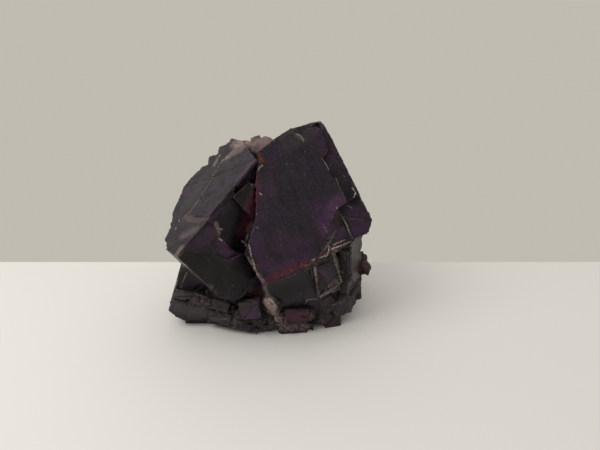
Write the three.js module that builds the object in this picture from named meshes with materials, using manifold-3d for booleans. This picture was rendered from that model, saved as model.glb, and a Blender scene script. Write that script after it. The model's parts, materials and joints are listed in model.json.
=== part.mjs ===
// A loose cluster of intergrown dark purple fluorite cubes, about 47 mm across.
// Millimetres, +Z up. The cluster is one piece, because its crystals grew together.

import * as THREE from 'three';
import { mergeVertices } from 'three/addons/utils/BufferGeometryUtils.js';
import Module from 'manifold-3d';

const wasm = await Module();
wasm.setup();

// Sizes of the two large cubes that the rest of the cluster is laid out around
const RIGHT_WIDTH = 27.4;
const RIGHT_HEIGHT = 25.6;
const RIGHT_DEPTH = 20;
const LEFT_LENGTH = 26.2;
const LEFT_HEIGHT = 22;
const LEFT_DEPTH = 18.4;

// Thickness of one growth layer on a crystal face
const LAYER = 0.8;

// A distance that reaches past the far edges of any one crystal
const PAST = 30;

// Where each crystal's corner lies, in millimetres, and how its front face is turned, in
// degrees: azimuth to the right, elevation upwards, then roll to the left.
const RIGHT_CUBE = { at: [-1.2, -13, 15.2], turn: [2, 27, 26] };
const LEFT_CUBE = { at: [-18.1, -16.8, 24.9], turn: [36, 9, 35] };
const FOOT_CUBE = { at: [-23.2, -8, 4.8], turn: [0, 0, -18] };
const SHADED_CUBE = { at: [-19.9, -5, 15.3], turn: [0, 0, -18] };
const UNDER_CUBE = { at: [10.9, -8.3, 8.9], turn: [12, -6, 15] };
const SIDE_CUBE = { at: [17.4, -8, 9], turn: [64, 0, 0] };
const CORNER_CUBE = { at: [12.6, -8.4, 0.2], turn: [14, 10, 8] };
const RED_BLOCK = { at: [3.3, -11.2, 3.7], turn: [4, 12, -3] };
const TOE_BLOCK = { at: [1.9, -10.6, 0.2], turn: [6, 18, -8] };
const VIOLET_CUBE = { at: [-6.3, -12.2, 5.3], turn: [-10, 15, 12] };
const STEP_CUBE = { at: [-14.2, -8.6, 3.4], turn: [-8, 6, -10] };

// A crystal's own axes run right along its face (x), into the rock (y) and up its face (z).
function crystalMatrix({ at, turn }) {
  const [azimuth, elevation, roll] = turn.map(THREE.MathUtils.degToRad);
  const matrix = new THREE.Matrix4();
  matrix.makeRotationFromEuler(new THREE.Euler(-elevation, -roll, azimuth, 'ZXY'));
  return matrix.setPosition(...at);
}

// Makes a closed geometry into a solid that can be joined and cut.
function solidOf(geometry) {
  geometry.deleteAttribute('normal');
  geometry.deleteAttribute('uv');
  const merged = mergeVertices(geometry, 1e-4);
  const vertProperties = new Float32Array(merged.attributes.position.array);
  const triVerts = new Uint32Array(merged.index.array);
  return new wasm.Manifold(new wasm.Mesh({ numProp: 3, vertProperties, triVerts }));
}

function join(solids) {
  return solids.reduce((whole, solid) => whole.add(solid));
}

// A block of a crystal, between two values of x, y and z on the crystal's axes
function block(crystal, [x0, x1], [y0, y1], [z0, z1]) {
  const box = new THREE.BoxGeometry(x1 - x0, y1 - y0, z1 - z0);
  box.translate((x0 + x1) / 2, (y0 + y1) / 2, (z0 + z1) / 2);
  return solidOf(box.applyMatrix4(crystalMatrix(crystal)));
}

// A layer on a crystal's front: an outline in x and z, between two depths y
function frontLayer(crystal, outline, [y0, y1]) {
  const shape = new THREE.Shape(outline.map(([x, z]) => new THREE.Vector2(x, z)));
  const plate = new THREE.ExtrudeGeometry(shape, { depth: y1 - y0, bevelEnabled: false });
  plate.rotateX(Math.PI / 2);
  plate.translate(0, y1, 0);
  return solidOf(plate.applyMatrix4(crystalMatrix(crystal)));
}

// A layer on a crystal's upper face: an outline in x and y, between two heights z
function topLayer(crystal, outline, [z0, z1]) {
  const shape = new THREE.Shape(outline.map(([x, y]) => new THREE.Vector2(x, y)));
  const plate = new THREE.ExtrudeGeometry(shape, { depth: z1 - z0, bevelEnabled: false });
  plate.translate(0, 0, z0);
  return solidOf(plate.applyMatrix4(crystalMatrix(crystal)));
}

// Splits off what lies beyond a plane through a point of the crystal.
// A direction with three equal parts is fluorite's own cleavage, which cuts a cube's corner off.
function cleave(solid, crystal, point, direction) {
  const matrix = crystalMatrix(crystal);
  const outwards = new THREE.Vector3(...direction).transformDirection(matrix);
  const through = new THREE.Vector3(...point).applyMatrix4(matrix);
  return solid.trimByPlane(outwards.clone().negate().toArray(), -outwards.dot(through));
}

// A lump of broken rock: a rounded form whose surface swells and sinks by a slow wave
function lump(centre, [rx, ry, rz], roughness, phase, detail = 3) {
  const ball = new THREE.IcosahedronGeometry(1, detail);
  const vertex = new THREE.Vector3();
  const positions = ball.attributes.position;
  for (let i = 0; i < positions.count; i += 1) {
    vertex.fromBufferAttribute(positions, i);
    const slow = Math.sin(3.1 * vertex.x + phase) * Math.sin(3.7 * vertex.y - phase);
    const quick = Math.sin(4.3 * vertex.z + 2 * phase) + Math.sin(7.9 * vertex.x - 6.1 * vertex.z) / 2;
    vertex.multiplyScalar(1 + roughness * (slow + quick));
    positions.setXYZ(i, vertex.x * rx, vertex.y * ry, vertex.z * rz);
  }
  ball.translate(...centre);
  return solidOf(ball);
}

// The turn from one side of a chunk to the next, which spreads the sides evenly round it
const GOLDEN_ANGLE = Math.PI * (3 - Math.sqrt(5));

// A chunk of broken rock: a lump knocked flat on many sides
function chunk(centre, radii, phase, flats = 26) {
  const middle = new THREE.Vector3(...centre);
  let rock = lump(centre, radii, 0.04, phase);
  for (let i = 0; i < flats; i += 1) {
    const rise = 1 - (2 * i + 1) / flats;
    const ring = Math.sqrt(1 - rise * rise);
    const angle = phase + i * GOLDEN_ANGLE;
    const outwards = new THREE.Vector3(ring * Math.cos(angle), ring * Math.sin(angle), rise);
    const radius = outwards.clone().multiply(new THREE.Vector3(...radii)).length();
    const reach = radius * (0.8 + 0.12 * Math.sin(5.3 * i + phase));
    rock = rock.trimByPlane(outwards.clone().negate().toArray(), -reach - outwards.dot(middle));
  }
  return rock;
}

// The outline of the right cube's face, going round from its lower left corner
const RIGHT_FACE = [
  [0, 0], [5.5, -1.1], [11.2, -1.5], [21.3, -0.4], [25.6, -0.4], [RIGHT_WIDTH, 1.7],
  [RIGHT_WIDTH, 21], [27.3, 24.6], [27.1, 25.7], [25.2, 26.2], [20.5, 27], [16, 26.6],
  [11.8, RIGHT_HEIGHT], [8.6, 20], [5.3, 13.6], [-0.3, 7.7],
];

// The large right cube, its face towards the front and tilted up. The last layer to grow
// stops short of the right edge, and the lower right corner lies two layers further in.
function rightCube() {
  const lowerRight = [[21.2, -1], [PAST, -1], [PAST, 7.7], [21.2, 7.7]];
  const plate = [
    [0, 0], [5.5, -1.1], [11.2, -1.5], [21.4, -0.4], [21.2, 2.7], [21.9, 7.4], [24.1, 7.7],
    [23.8, 18.2], [25.6, 19.4], [26.2, 24.6], [24.8, 26], [20.5, 27], [16, 26.6],
    [11.8, RIGHT_HEIGHT], [8.6, 20], [5.3, 13.6], [-0.3, 7.7],
  ];
  const steps = join([
    frontLayer(RIGHT_CUBE, lowerRight, [0, 2 * LAYER]),
    block(RIGHT_CUBE, [RIGHT_WIDTH - LAYER, PAST], [7.5, PAST], [2, 14]),
    block(RIGHT_CUBE, [RIGHT_WIDTH - 2 * LAYER, PAST], [13, PAST], [-2, 8]),
    block(RIGHT_CUBE, [13, 23], [8, PAST], [RIGHT_HEIGHT - LAYER, PAST]),
  ]);
  const body = frontLayer(RIGHT_CUBE, RIGHT_FACE, [LAYER, RIGHT_DEPTH]).subtract(steps);
  const whole = body.add(frontLayer(RIGHT_CUBE, plate, [0, LAYER + 0.1]));
  const chipped = cleave(whole, RIGHT_CUBE, [27.4, 1.2, 24.2], [1, -1, 1]);
  return cleave(chipped, RIGHT_CUBE, [RIGHT_WIDTH, 9, RIGHT_HEIGHT], [1, 1, 1]);
}

// The left cube, whose long upper edge runs up to the right from its near corner. A recess
// is broken out of its face, and a thin raised layer follows the edge on its upper side.
function leftCube() {
  const side = [
    [0, LAYER], [0, 5.5], [1.8, 9.7], [4.7, 11.4], [8, 14.7], [10.7, 16.1], [14.1, LEFT_DEPTH],
    [16.9, LEFT_DEPTH], [20.3, 17.9], [21.5, 16.9], [23.4, 18.7], [24.5, 16.3], [26.4, 17.9],
    [27.6, 15.9], [29.5, 16.1], [29.7, 11.6], [28.4, 7.3], [27, 3.8], [LEFT_LENGTH, LAYER],
  ];
  const upperLayer = [
    [0, LAYER], [1.6, 4.5], [4, 7.3], [6.8, 9.2], [8.7, 8.3], [13.8, 8.9], [18.6, 10.5],
    [22.8, 11.8], [26.8, 11.6], [28.6, 12.6], [28.4, 7.3], [27, 3.8], [LEFT_LENGTH, LAYER],
  ];
  const rear = [
    [3.5, 4], [4.5, 9], [8, 12.8], [11, 14.5], [15, 16], [22, 16], [26, 12], [25, 4],
  ];
  const inner = [
    [0, -4], [-0.3, -13.7], [1.1, -18.7], [7.6, -LEFT_HEIGHT], [14, -19], [26, -8], [26, -4],
  ];
  const nearPlate = [
    [0, 0], [10.7, 0], [10.7, -0.6], [9, -4.1], [5.6, -7.2], [6.4, -10.5], [9.5, -12.2],
    [12, -18], [7.6, -LEFT_HEIGHT], [1.1, -18.9], [-0.4, -13.9],
  ];
  const nearTop = [[0, 0], [10.7, 0], [8.6, 5.8], [6.7, 8], [4, 6.8], [1.6, 4]];
  const ledge = [[17, -1.6], [21.4, -2.4], [22.3, -3.8], [21.6, -9], [17.6, -12], [16.6, -9]];
  const body = join([
    topLayer(LEFT_CUBE, side, [-5, -LAYER]),
    topLayer(LEFT_CUBE, rear, [-16, -4]),
    cleave(frontLayer(LEFT_CUBE, inner, [LAYER, 14]), LEFT_CUBE, [0, 6, 0], [-1, 0.7, 0]),
  ]);
  const recess = block(LEFT_CUBE, [9, PAST], [-1, 2.4], [-PAST, -LAYER - 1]);
  const corner = block(LEFT_CUBE, [17.8, PAST], [-1, 3.6], [-LAYER - 1.2, -LAYER]);
  const layered = join([
    body.subtract(recess).subtract(corner),
    topLayer(LEFT_CUBE, upperLayer, [-LAYER - 0.1, -0.3]),
    frontLayer(LEFT_CUBE, nearPlate, [0, 5]),
    topLayer(LEFT_CUBE, nearTop, [-LAYER - 0.1, 0]),
    frontLayer(LEFT_CUBE, ledge, [0.5, 4]),
  ]);
  return cleave(layered, LEFT_CUBE, [1.1, 4, -18.7], [-1, 0.3, -1]);
}

// The cube at the lower left, with a ledge along its top, and the darker one in its shade
function footCubes() {
  const foot = [[0, 0], [0.5, 3.4], [9, 3.4], [13, 3.4], [13, 0.4], [8, 0.4], [4.7, -1.9], [2, -1.3]];
  const ledge = [[0.6, 3.3], [14, 3.3], [14, 4.6], [1.4, 4.6]];
  return join([
    frontLayer(FOOT_CUBE, foot, [0, 14]),
    frontLayer(FOOT_CUBE, ledge, [2.2, 12]),
    block(FOOT_CUBE, [4.5, 16], [1.4, 12], [-5, 1]),
    block(SHADED_CUBE, [0, 14], [0, 12], [-10.5, 0]),
  ]);
}

// The faces under the right cube: a dark one, its window-like neighbour and ribs beside them
function underCubes() {
  return join([
    block(UNDER_CUBE, [-11, 0], [0, 12], [-5, 9.5]),
    block(UNDER_CUBE, [0, 5.4], [-0.6, 11], [0.4, 12]),
    block(UNDER_CUBE, [5.4, 8.6], [1.6, 12], [-1, 13]),
    block(SIDE_CUBE, [0, 8], [0, 9], [0, 13]),
    block(CORNER_CUBE, [0, 4], [0, 6], [-1, 3]),
  ]);
}

// Small crystals and broken lumps along the foot of the cluster
function footLumps() {
  return join([
    block(RED_BLOCK, [0, 5.7], [0, 6], [0, 3.3]),
    block(TOE_BLOCK, [0, 8], [0, 9], [-2, 3]),
    block(VIOLET_CUBE, [0, 4.7], [0, 6], [0, 4.1]),
    block(STEP_CUBE, [0, 7], [0, 6], [-1.6, 2]),
    block(STEP_CUBE, [3.6, 10.2], [-0.8, 6], [-0.9, 1.1]),
    chunk([0.6, -9.3, 8.2], [2.6, 2.9, 3.9], 1.3, 14),
    chunk([-3, -6.4, 2.4], [10.5, 4.6, 3.6], 2.9, 18),
    lump([21.5, 0, 11.3], [1.8, 1.8, 1.9], 0.06, 0.4, 2),
    chunk([18.2, 3.2, 10.6], [3.5, 3.7, 4.2], 0.8, 14),
    chunk([13.8, -2.2, 6], [7.2, 7, 7.6], 2.2),
  ]);
}

// The broken rear mass that carries all the crystals
function rearMass() {
  return join([
    chunk([-1, 5, 16], [18, 12, 19], 0.9, 34),
    chunk([-2, -0.5, 7], [17, 10.5, 10], 1.9, 30),
    chunk([-1.8, 8.5, 33.4], [6.2, 5, 8.6], 0.2, 18),
    chunk([-2, 4.5, 27], [9, 9, 10], 0.6, 24),
    chunk([9, -1, 11], [6, 6, 7], 1.1, 16),
    chunk([2, 10, 25], [9, 7.5, 9], 2.6, 20),
  ]);
}

// Cubes on the side away from the front: corner, turn and size of each
const REAR_CUBES = [
  { at: [18, 14, 2], turn: [176, 8, -12], size: [17, 16, 18] },
  { at: [9, 17.4, 13], turn: [188, 12, 14], size: [13, 14, 12] },
  { at: [-1, 15, -1], turn: [196, 6, 10], size: [15, 16, 16] },
  { at: [-7, 12.5, 14], turn: [215, 18, -20], size: [11, 12, 12] },
  { at: [15.4, 13.8, 14.5], turn: [158, 8, 18], size: [8, 9, 8] },
  { at: [-2, 15.5, 11], turn: [200, 25, 35], size: [7, 7, 7] },
  { at: [9, 16.5, -1], turn: [170, 0, 5], size: [8, 8, 8] },
];

// A cube with one more growth layer on its outer face, set in from two of the edges
function terracedCube({ at, turn, size: [width, depth, height] }) {
  const crystal = { at, turn };
  const cube = block(crystal, [0, width], [0, depth], [0, height]);
  const terrace = block(crystal, [0.14 * width, width], [-LAYER / 2, 1], [0.2 * height, height]);
  return cube.add(terrace);
}

function rearCubes() {
  return join(REAR_CUBES.map(terracedCube));
}

// The right cube grew last, so nothing stands in front of its face, and a hair-wide groove
// runs round it.
const neighbours = join([
  leftCube(), footCubes(), underCubes(), footLumps(), rearMass(), rearCubes(),
]);
const FACE_MIDDLE = 13.3;
const GROOVE = 1.006;
const grooved = RIGHT_FACE.map((corner) => corner.map((value) => (
  FACE_MIDDLE + (value - FACE_MIDDLE) * GROOVE
)));
const clearance = frontLayer(RIGHT_CUBE, grooved, [-PAST, 2 * LAYER]);
const rough = neighbours.subtract(clearance).add(rightCube());

// The cluster stands on a flat base. Pockets sealed inside, where crystals meet, are filled.
const shells = rough.trimByPlane([0, 0, 1], 0).decompose();
const standing = shells.reduce((outer, shell) => (shell.volume() > outer.volume() ? shell : outer));

const mesh = standing.getMesh();
const geometry = new THREE.BufferGeometry();
geometry.setAttribute('position', new THREE.BufferAttribute(mesh.vertProperties, 3));
geometry.setIndex(new THREE.BufferAttribute(mesh.triVerts, 1));

// The origin is the middle of the cluster's box, on the surface that it stands on.
geometry.computeBoundingBox();
const { min, max } = geometry.boundingBox;
geometry.translate(-(min.x + max.x) / 2, -(min.y + max.y) / 2, -min.z);

const fluorite = new THREE.MeshStandardMaterial({ color: '#2d2733', roughness: 0.35, metalness: 0 });
const cluster = new THREE.Mesh(geometry, fluorite);
cluster.name = 'fluorite_cluster';

const specimen = new THREE.Group();
specimen.add(cluster);

export default specimen;
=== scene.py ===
# %% [markdown]
# # A loose cluster of dark purple fluorite cubes
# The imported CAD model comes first. It is the fixed frame for everything that follows, in
# metres, standing on z = 0 with its photographed side towards -Y.

# %% Load the frame
import json
from math import radians

import bmesh
import bpy
import numpy as np
from mathutils import Euler, Matrix, Vector, noise
from mathutils.kdtree import KDTree

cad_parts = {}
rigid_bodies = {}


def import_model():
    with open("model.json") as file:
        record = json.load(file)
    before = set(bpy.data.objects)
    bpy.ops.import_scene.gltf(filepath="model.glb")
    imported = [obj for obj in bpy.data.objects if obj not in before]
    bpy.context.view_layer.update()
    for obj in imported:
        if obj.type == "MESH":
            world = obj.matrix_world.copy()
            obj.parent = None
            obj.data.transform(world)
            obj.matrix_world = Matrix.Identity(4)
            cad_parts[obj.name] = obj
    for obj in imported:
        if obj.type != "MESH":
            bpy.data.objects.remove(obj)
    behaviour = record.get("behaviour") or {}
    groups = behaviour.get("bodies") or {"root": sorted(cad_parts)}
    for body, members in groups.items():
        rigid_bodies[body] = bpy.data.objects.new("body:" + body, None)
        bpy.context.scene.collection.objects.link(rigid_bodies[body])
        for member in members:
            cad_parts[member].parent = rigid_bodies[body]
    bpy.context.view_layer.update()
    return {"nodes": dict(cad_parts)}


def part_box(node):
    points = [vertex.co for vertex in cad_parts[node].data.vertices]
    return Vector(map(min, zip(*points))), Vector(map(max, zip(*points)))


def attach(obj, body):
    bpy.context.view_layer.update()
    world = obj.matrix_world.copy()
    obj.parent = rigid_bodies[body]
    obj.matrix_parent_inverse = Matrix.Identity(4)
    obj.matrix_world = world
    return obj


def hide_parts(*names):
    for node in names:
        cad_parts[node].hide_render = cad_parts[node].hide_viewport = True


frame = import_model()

MM = 0.001
low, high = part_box("fluorite_cluster")
print("cluster, mm:", [round((b - a) / MM, 1) for a, b in zip(low, high)])

# %% [markdown]
# ## The camera
# The photograph looks down on the cluster by about thirty degrees, from about a hand's length
# away. A camera that close gives strong perspective, so its distance matters as much as its
# angle.

# %% Camera
SENSOR_MM = 36
FOCAL_PX, PHOTO_WIDE_PX = 664, 600
LOOK_DOWN_DEGREES = 29.6
camera_data = bpy.data.cameras.new("camera")
camera_data.sensor_width = SENSOR_MM
camera_data.lens = FOCAL_PX / PHOTO_WIDE_PX * SENSOR_MM
camera_data.clip_start = 0.005
camera_data.clip_end = 10
camera = bpy.data.objects.new("camera", camera_data)
bpy.context.scene.collection.objects.link(camera)
camera.location = (6.704 * MM, -130.852 * MM, 96.5 * MM)
camera.rotation_euler = (radians(90 - LOOK_DOWN_DEGREES), 0, 0)
bpy.context.scene.camera = camera
bpy.context.scene.view_settings.view_transform = "Standard"
print("camera at, mm:", [round(c / MM, 1) for c in camera.location])

# %% [markdown]
# ## The crystals' own axes
# Each cube grew along three axes of its own. Growth lines, terraces and chips follow those
# axes, so every crystal is listed with its corner, in millimetres, and its turn: azimuth,
# elevation and roll, in degrees.

# %% Crystals
CRYSTALS = {
    "right": ((-1.3, -13.85, 15.2), (2, 27, 26)),
    "left": ((-18.2, -17.65, 24.9), (36, 9, 35)),
    "foot": ((-23.3, -8.85, 4.8), (0, 0, -18)),
    "under": ((10.8, -9.15, 8.9), (12, -6, 15)),
    "side": ((17.3, -8.85, 9), (64, 0, 0)),
    "corner": ((12.5, -9.25, 0.2), (14, 10, 8)),
    "red": ((3.2, -12.05, 3.7), (4, 12, -3)),
    "toe": ((1.8, -11.45, 0.2), (6, 18, -8)),
    "violet": ((-6.4, -13.05, 5.3), (-10, 15, 12)),
    "step": ((-14.3, -9.45, 3.4), (-8, 6, -10)),
    "rear_a": ((17.9, 13.15, 2), (176, 8, -12)),
    "rear_b": ((8.9, 16.55, 13), (188, 12, 14)),
    "rear_c": ((-1.1, 14.15, -1), (196, 6, 10)),
    "rear_d": ((-7.1, 11.65, 14), (215, 18, -20)),
    "rear_e": ((15.3, 12.95, 14.5), (158, 8, 18)),
    "rear_f": ((-2.1, 14.65, 11), (200, 25, 35)),
    "rear_g": ((8.9, 15.65, -1), (170, 0, 5)),
}


def crystal_turn(turn):
    """The three axes of a crystal, from its azimuth, elevation and roll."""
    azimuth, elevation, roll = (radians(angle) for angle in turn)
    turned = Matrix.Rotation(azimuth, 3, "Z") @ Matrix.Rotation(-elevation, 3, "X")
    return turned @ Matrix.Rotation(-roll, 3, "Y")


def crystal_matrix(name):
    """From a crystal's own millimetres to its place in the cluster."""
    corner, turn = CRYSTALS[name]
    return Matrix.Translation(Vector(corner) * MM) @ crystal_turn(turn).to_4x4()


print("crystals:", len(CRYSTALS))

# %% [markdown]
# ## A clean copy of the solid
# The CAD mesh is a soup of loose triangles. A copy is merged, and the flat faces are made
# whole again, so that everything after it works on one closed skin.

# %% Copy and merge
MERGE = 2e-6
FLAT = radians(0.2)
cluster_mesh = frame["nodes"]["fluorite_cluster"].data.copy()
cluster_mesh.name = "fluorite_crystals"
cluster_mesh.materials.clear()
cluster = bpy.data.objects.new("fluorite_crystals", cluster_mesh)
bpy.context.scene.collection.objects.link(cluster)

skin = bmesh.new()
skin.from_mesh(cluster_mesh)
bmesh.ops.remove_doubles(skin, verts=skin.verts, dist=MERGE)
bmesh.ops.dissolve_degenerate(skin, edges=skin.edges, dist=MERGE)
bmesh.ops.dissolve_limit(
    skin, angle_limit=FLAT, use_dissolve_boundaries=False,
    verts=skin.verts, edges=skin.edges,
)
bmesh.ops.triangulate(skin, faces=skin.faces, quad_method="BEAUTY", ngon_method="BEAUTY")


def describe(title):
    """Counts the edges of holes, with one face, and of folds, with more than two."""
    holes = sum(e.is_boundary for e in skin.edges)
    folds = sum(len(e.link_faces) > 2 for e in skin.edges)
    print(title, len(skin.faces), "faces,", holes, "hole edges,", folds, "fold edges")


describe("clean skin:")
skin.to_mesh(cluster_mesh)
skin.free()

# %% [markdown]
# ## Joining and cutting
# Nature made one piece, so every added crystal is joined to the skin and every chip is cut
# out of it. A Boolean modifier does both: its Manifold solver is quick, it keeps the skin
# closed, and it takes a whole collection of tools at once.

# %% Join or cut
tools = bpy.data.collections.new("tools")
bpy.context.scene.collection.children.link(tools)


def lay_out(tool):
    """Puts a finished shape among the tools."""
    mesh = bpy.data.meshes.new("tool")
    tool.to_mesh(mesh)
    tool.free()
    tools.objects.link(bpy.data.objects.new("tool", mesh))


def work(operation):
    """Joins or cuts with all the tools laid out, and clears them away."""
    cut = cluster.modifiers.new("work", "BOOLEAN")
    cut.operation = operation
    cut.solver = "MANIFOLD"
    cut.operand_type = "COLLECTION"
    cut.collection = tools
    view = bpy.context.evaluated_depsgraph_get()
    worked = bpy.data.meshes.new_from_object(cluster.evaluated_get(view))
    cluster.modifiers.clear()
    cluster.data = worked
    for tool in list(tools.objects):
        used = tool.data
        bpy.data.objects.remove(tool)
        bpy.data.meshes.remove(used)
    print(operation.lower(), "->", len(worked.polygons), "faces")


print("the skin before any work:", len(cluster_mesh.polygons), "faces")

# %% [markdown]
# ## Whose face is whose
# A cube's own faces are square to its axes, and fluorite splits across the corners, at equal
# angles to all three. Any other face is broken rock. Growth lines, druse and chips all need
# to know which is which.

# %% Sort a direction
BACK = {name: crystal_turn(turn).transposed() for name, (_, turn) in CRYSTALS.items()}
SPLIT = Vector((1, 1, 1)).normalized()
SQUARE_ENOUGH = 0.9995  # the cosine of about two degrees


def owner_of(direction):
    """The crystal that a face belongs to, and if it has grown, split or is broken rock."""
    best, owner, kind = SQUARE_ENOUGH, None, "rock"
    for name, back in BACK.items():
        local = Vector(abs(c) for c in back @ direction)
        if max(local) > best:
            best, owner, kind = max(local), name, "grown"
        elif local.dot(SPLIT) > best:
            best, owner, kind = local.dot(SPLIT), name, "split"
    return owner, kind


print("a face that looks straight up is", owner_of(Vector((0, 0, 1))))

# %% [markdown]
# ## Rubble at the foot
# Between the small crystals of the foot sit knuckles of broken rock. A handful of seeded
# points on an egg, wrapped in their convex hull, gives the flat sides and blunt corners that
# a rounded ball never has. Each egg has a middle and three radii, in millimetres, and is cut
# off just above the table.

# %% Rubble
rng = np.random.default_rng(11)
LOWEST = 0.02 * MM
EGG_POINTS = 34
EGG_SKIN = (0.9, 1.03)
RUBBLE = [
    ((15.6, -5.2, 4.8), (3.7, 3.6, 5.4)), ((11.8, -7.0, 2.6), (3.0, 3.0, 2.9)),
    ((18.6, -2.2, 6.5), (2.8, 3.0, 3.6)), ((21.0, 0.2, 11.0), (2.0, 2.2, 2.3)),
    ((0.4, -10.6, 7.0), (1.3, 1.5, 2.6)), ((1.9, -10.9, 4.6), (1.3, 1.2, 1.7)),
    ((-0.4, -10.4, 3.2), (1.8, 1.6, 2.2)), ((-6.4, -9.9, 2.9), (2.8, 1.9, 2.6)),
    ((-9.4, -8.6, 3.9), (2.4, 2.1, 1.9)), ((4.6, -10.3, 2.6), (3.2, 1.5, 2.4)),
    ((-4.2, 8.6, 36.4), (4.2, 3.0, 2.9)), ((8.9, -9.6, 4.2), (1.5, 1.6, 2.1)),
    ((-3.0, -10.0, 6.6), (2.4, 1.6, 3.0)),
]
for middle, radii in RUBBLE:
    egg = bmesh.new()
    for _ in range(EGG_POINTS):
        way = Vector(rng.normal(size=3)).normalized() * float(rng.uniform(*EGG_SKIN))
        egg.verts.new(Vector(m + w * r for m, w, r in zip(middle, way, radii)) * MM)
    bmesh.ops.convex_hull(egg, input=egg.verts)
    bmesh.ops.delete(egg, geom=[v for v in egg.verts if not v.link_faces], context="VERTS")
    bmesh.ops.recalc_face_normals(egg, faces=egg.faces)
    bmesh.ops.bisect_plane(
        egg, geom=egg.verts[:] + egg.edges[:] + egg.faces[:], dist=1e-7,
        plane_co=(0, 0, LOWEST), plane_no=(0, 0, -1), clear_outer=True)
    bmesh.ops.holes_fill(egg, edges=[e for e in egg.edges if e.is_boundary])
    lay_out(egg)
work("UNION")

# %% [markdown]
# ## Ledges, ribs and frames
# Some crystals only show as a thin plate or a ledge: the grey ledge over the foot, the ribs in
# the dark slot on the right, and the frame round the window-like cube beside it. Each is a
# cube drawn out from one point to another, with a width, a depth and a roll about its own
# length in degrees.

# %% Plates and ledges
PLATES = [
    ((-22.2, -6.6, 7.3), (-9.4, -8.9, 5.0), 2.2, 3.4, 32),
    ((-13.6, -9.3, 3.6), (-6.6, -10.6, 3.0), 1.8, 2.4, 25),
    ((15.4, -7.9, 20.2), (16.3, -8.2, 13.6), 0.35, 2.0, 0),
    ((16.3, -8.3, 20.6), (17.0, -8.4, 13.2), 0.3, 2.2, 0),
    ((17.2, -8.6, 21.2), (17.8, -8.0, 12.2), 0.35, 1.6, 0),
    ((9.7, -11.0, 19.6), (11.0, -10.0, 9.5), 0.6, 1.0, 5),
    ((11.0, -10.0, 9.6), (15.8, -8.5, 12.6), 1.1, 0.9, 0),
    ((13.7, -10.2, 21.4), (15.8, -8.6, 12.6), 0.7, 0.9, 0),
    ((10.4, -10.7, 17.6), (14.2, -9.9, 19.2), 0.6, 0.8, 0),
]
for start, end, wide, deep, roll in PLATES:
    run = (Vector(end) - Vector(start)) * MM
    plate = bmesh.new()
    bmesh.ops.create_cube(plate, size=1, matrix=(
        Matrix.Translation((Vector(start) + Vector(end)) / 2 * MM)
        @ run.to_track_quat("Z", "Y").to_matrix().to_4x4()
        @ Matrix.Rotation(radians(roll), 4, "Z")
        @ Matrix.Diagonal((wide * MM, deep * MM, run.length, 1))))
    lay_out(plate)
work("UNION")

# %% [markdown]
# ## Small crystals on the broken rock
# Where the rock broke, small cubes grew over it. Each is a cube sunk into the surface at a
# seeded random place, turned nearly like one of the large crystals. Any that would stand in
# front of the two large crystals, or leave the cluster's box, is passed over.

# %% Keep the large faces clear
MARGIN = 0.1 * MM
# How far each large crystal reaches, in millimetres along its own axes. X runs along its
# face, y into the crystal and z up the face.
RIGHT_X, RIGHT_Z = (-1, 28.5), (-2.5, 28.5)
RIGHT_Y_LOW, RIGHT_Y_HIGH, RIGHT_STEP_Z = 2, 9, 18
LEFT_X, LEFT_Z, LEFT_Y = (-1, 28), (-24, 1), 2.5
LEFT_TOP_X, LEFT_TOP_Z, LEFT_TOP_Y = (-1, 30), -1, 19
right_back = crystal_matrix("right").inverted()
left_back = crystal_matrix("left").inverted()


def between(value, limits):
    return limits[0] < value < limits[1]


def allowed(corner):
    """Inside the cluster's box, and not before or above a large crystal."""
    inside = all(a + MARGIN < c < b - MARGIN for a, c, b in zip(low, corner, high))
    x, y, z = (right_back @ corner) / MM
    before_right = (between(x, RIGHT_X) and between(z, RIGHT_Z)
                    and y < (RIGHT_Y_LOW if z < RIGHT_STEP_Z else RIGHT_Y_HIGH))
    x, y, z = (left_back @ corner) / MM
    before_left = between(x, LEFT_X) and between(z, LEFT_Z) and y < LEFT_Y
    above_left = between(x, LEFT_TOP_X) and z > LEFT_TOP_Z and y < LEFT_TOP_Y
    return inside and not before_right and not before_left and not above_left


print("a cube in the middle of the cluster is allowed:", allowed((low + high) / 2))

# %% Druse
DOWNWARDS = -0.9
LEAN, STRETCH, SINK = 0.12, (0.75, 1.15), (0.1, 0.35)


def druse(count, smallest, largest, reach):
    """Small cubes on the broken rock, from the smallest size to the largest in mm."""
    rock = [p for p in cluster.data.polygons
            if owner_of(p.normal)[1] == "rock" and reach(p.center / MM)]
    share = np.array([p.area for p in rock])
    made = 0
    for pick in rng.choice(len(rock), size=count, p=share / share.sum()):
        face = rock[pick]
        points = [cluster.data.vertices[i].co for i in face.vertices]
        weights = rng.dirichlet(np.ones(len(points)))
        spot = sum((p * float(w) for w, p in zip(weights, points)), Vector())
        if face.normal.z < DOWNWARDS:
            continue
        size = rng.uniform(smallest, largest)
        family = list(CRYSTALS)[rng.integers(len(CRYSTALS))]
        lean = Euler(rng.normal(0, LEAN, 3)).to_matrix()
        turned = (crystal_turn(CRYSTALS[family][1]) @ lean).to_4x4()
        stretch = Matrix.Diagonal((*(size * MM * rng.uniform(*STRETCH, 3)), 1))
        sunk = spot - face.normal * size * MM * rng.uniform(*SINK)
        placed = Matrix.Translation(sunk) @ turned @ stretch
        if not all(allowed(placed @ Vector((x, y, z)))
                   for x in (-0.5, 0.5) for y in (-0.5, 0.5) for z in (-0.5, 0.5)):
            continue
        cube = bmesh.new()
        bmesh.ops.create_cube(cube, size=1, matrix=placed)
        lay_out(cube)
        made += 1
    print("small crystals:", made)


druse(260, 1.2, 3.6, lambda spot: spot.y > -5)
druse(90, 0.6, 1.4, lambda spot: spot.y < -4 and spot.z < 10 and spot.x < 9)
work("UNION")

# %% [markdown]
# ## Chips along the edges
# A knocked fluorite edge doesn't crumble. It splits, and leaves a flat bright facet. Each
# chip is cut by an octahedron, whose eight sides are just those splitting planes, turned like
# the crystal it bites into.

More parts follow.
